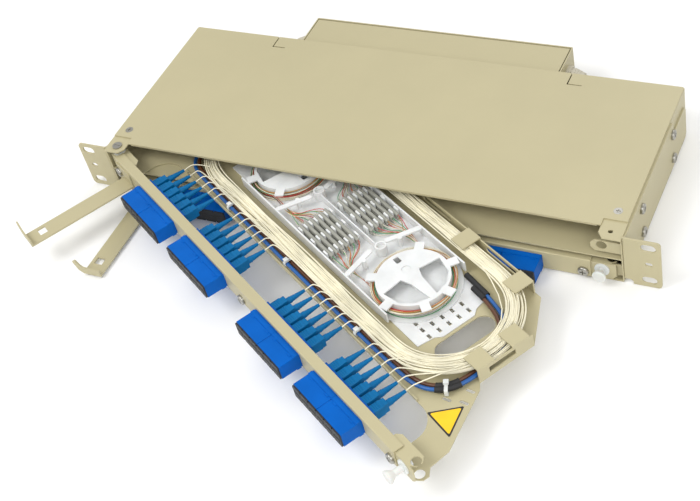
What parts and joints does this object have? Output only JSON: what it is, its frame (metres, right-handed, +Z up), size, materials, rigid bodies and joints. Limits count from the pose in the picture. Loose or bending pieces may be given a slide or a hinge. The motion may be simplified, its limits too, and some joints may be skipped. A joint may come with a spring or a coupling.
{
  "type": "fibre termination box",
  "caption": "Rack-mounted fibre termination box with two swing-out splice trays, blue adapters, coiled pigtails and a rear cable box.",
  "frame": {"origin": "centre of the rack-ear hole pattern, on the front face of the ears", "axes": "+X to the right seen from the front, +Y to the rear, +Z up"},
  "size_m": [0.4916, 0.4221, 0.044],
  "materials": {
    "beige_powder_coat": "textured satin powder coat",
    "zinc_steel": "zinc plated",
    "grey_nylon": "moulded",
    "black_rubber": "matte",
    "white_nylon": "moulded",
    "adapter_blue": "moulded",
    "cap_black": "soft moulded",
    "connector_blue": "moulded",
    "fibre_cream": "extruded jacket",
    "tube_plastic": "extruded",
    "white_plastic": "moulded",
    "clear_sleeve": "clear heat-shrink"
  },
  "bodies": {
    "chassis": {"chassis_pan": "beige_powder_coat", "middle_shelf": "beige_powder_coat", "top_cover": "beige_powder_coat", "left_ear_bracket": "beige_powder_coat", "right_ear_bracket": "beige_powder_coat", "hinge_pin": "zinc_steel", "rear_cable_box": "beige_powder_coat", "rear_box_lid": "beige_powder_coat", "latch_strikes": "beige_powder_coat", "ear_bracket_screws": "zinc_steel", "ear_bracket_nuts": "zinc_steel", "cover_screws": "zinc_steel", "rear_box_screws": "zinc_steel", "gland_bodies": "grey_nylon", "gland_nuts": "grey_nylon", "gland_seals": "black_rubber", "gland_locknuts": "grey_nylon", "strength_clamps": "zinc_steel"},
    "lower_tray": {"lower_tray_plate": "beige_powder_coat", "lower_front_bar": "beige_powder_coat", "lower_cable_guide_arm": "beige_powder_coat", "lower_bar_screws": "zinc_steel", "lower_hinge_bushes": "white_nylon", "lower_latch_grommet": "white_nylon", "lower_adapters": "adapter_blue", "lower_dust_caps": "cap_black", "lower_connectors": "connector_blue", "lower_connector_boots": "connector_blue", "lower_pigtail_tails": "fibre_cream", "lower_pigtail_bundle": "fibre_cream", "lower_buffer_tubes": "tube_plastic", "lower_heat_shrinks": "black_rubber", "lower_cable_ties": "white_nylon", "lower_cassette_mount": "white_plastic", "lower_splice_cassette": "white_plastic", "lower_splice_combs": "white_plastic", "lower_splice_sleeves": "clear_sleeve", "lower_fibre_coils": "fibre_cream"},
    "lower_plunger": {"lower_latch_plunger": "white_nylon"},
    "upper_tray": {"upper_tray_plate": "beige_powder_coat", "upper_front_bar": "beige_powder_coat", "upper_cable_guide_arm": "beige_powder_coat", "upper_bar_screws": "zinc_steel", "upper_hinge_bushes": "white_nylon", "upper_latch_grommet": "white_nylon", "upper_adapters": "adapter_blue", "upper_dust_caps": "cap_black", "upper_connectors": "connector_blue", "upper_connector_boots": "connector_blue", "upper_pigtail_tails": "fibre_cream", "upper_pigtail_bundle": "fibre_cream", "upper_buffer_tubes": "tube_plastic", "upper_heat_shrinks": "black_rubber", "upper_cable_ties": "white_nylon", "upper_cassette_mount": "white_plastic", "upper_splice_cassette": "white_plastic", "upper_splice_combs": "white_plastic", "upper_splice_sleeves": "clear_sleeve", "upper_fibre_coils": "fibre_cream"},
    "upper_plunger": {"upper_latch_plunger": "white_nylon"}
  },
  "joints": [
    {"name": "lower_tray_swing", "type": "hinge", "parent": "chassis", "child": "lower_tray", "pos_m": [-0.2053, 0.0055, 0], "axis": [0, 0, 1], "range_deg": [-90, 0]},
    {"name": "upper_tray_swing", "type": "hinge", "parent": "chassis", "child": "upper_tray", "pos_m": [-0.2053, 0.0055, 0], "axis": [0, 0, 1], "range_deg": [-59.1, 30.9]},
    {"name": "lower_latch_pull", "type": "slide", "parent": "lower_tray", "child": "lower_plunger", "axis": [0, -1, 0], "range_m": [0, 0.005]},
    {"name": "upper_latch_pull", "type": "slide", "parent": "upper_tray", "child": "upper_plunger", "axis": [-0.5135, -0.8581, 0], "range_m": [-0.005, 0]}
  ]
}
